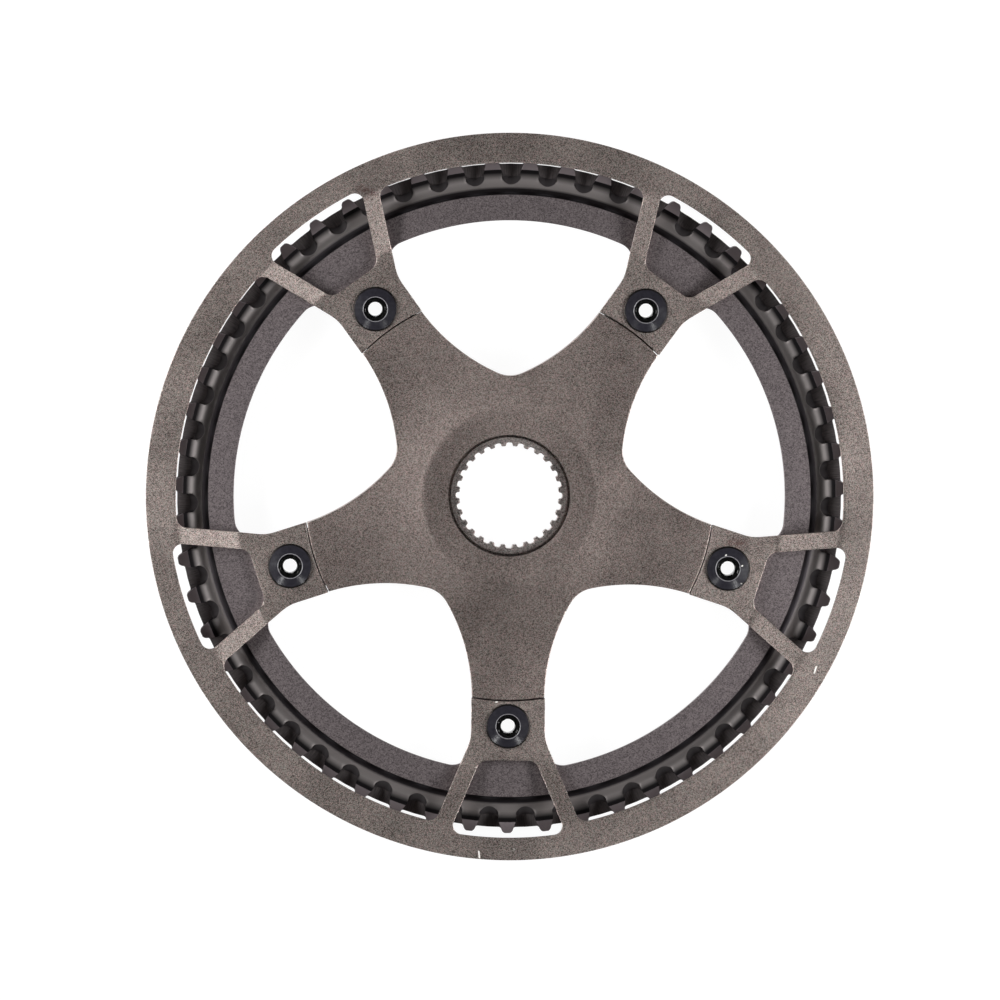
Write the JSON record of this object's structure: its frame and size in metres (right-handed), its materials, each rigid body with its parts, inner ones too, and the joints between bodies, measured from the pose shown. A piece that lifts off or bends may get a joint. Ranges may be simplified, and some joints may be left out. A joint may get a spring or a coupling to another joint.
{
  "type": "belt drive sprocket",
  "caption": "Belt drive front sprocket: toothed ring with a centre fin and a proud guard ring on Y-shaped spokes, bolted to a dished spider with a splined hub",
  "frame": {"origin": "on the sprocket's axis, in the plane of the toothed ring's back face, on which it lies", "axes": "+Z along the axis towards the front with the guard, -Y along one spider arm, X to the right"},
  "size_m": [0.2054, 0.2054, 0.0183],
  "materials": {
    "spider": "bead-blasted, grey-brown anodised",
    "belt_ring": "machined, dark grey anodised, semi-gloss at the teeth",
    "guard": "bead-blasted, grey-brown anodised",
    "bolts": "glossy black coated steel",
    "nuts": "black coated steel"
  },
  "bodies": {
    "root": {"spider": "spider", "sprocket_ring": "belt_ring", "belt_guard": "guard", "ring_bolts": "bolts", "sleeve_nuts": "nuts"}
  },
  "joints": []
}
